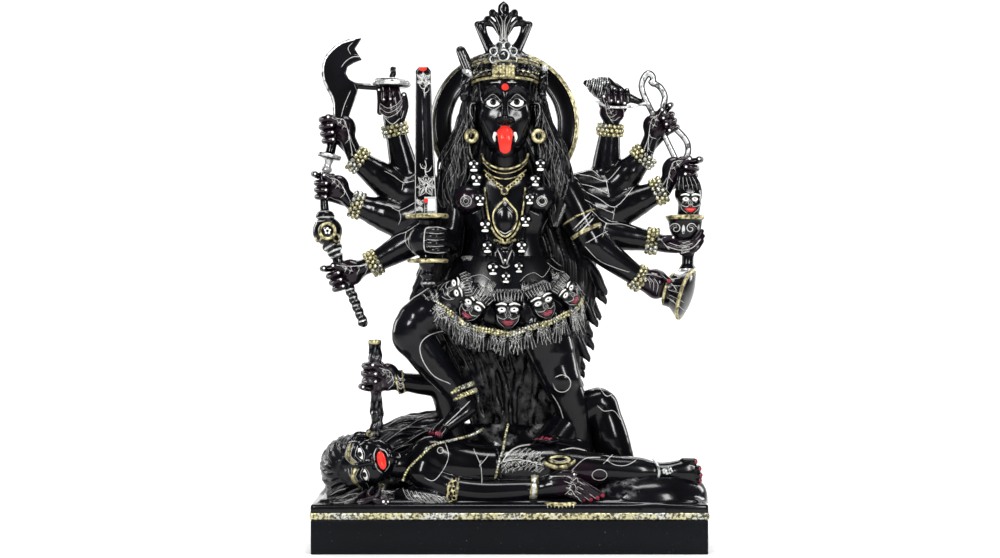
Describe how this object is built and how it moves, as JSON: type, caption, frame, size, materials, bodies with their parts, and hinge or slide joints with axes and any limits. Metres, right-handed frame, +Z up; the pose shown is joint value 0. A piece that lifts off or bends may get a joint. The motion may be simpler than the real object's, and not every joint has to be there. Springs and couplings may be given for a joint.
{
  "type": "ten-armed goddess statue on plinth",
  "caption": "Carved stone statue of a ten-armed standing goddess with crown, halo ring, weapons and skull garland, on a reclining figure over a plain slab plinth.",
  "frame": {"origin": "middle of the plinth's underside, which is the bottom centre of the whole", "axes": "+Z up to the crown, -Y out of the goddess's face towards the viewer, +X to the viewer's right, where the reclining figure's feet are"},
  "size_m": [0.5879, 0.23, 0.8116],
  "materials": {
    "black_stone": "polished black marble, with gilt, silver, white and red paint",
    "plinth_stone": "honed black marble"
  },
  "bodies": {
    "root": {"carved_group": "black_stone", "plinth": "plinth_stone"}
  },
  "joints": []
}
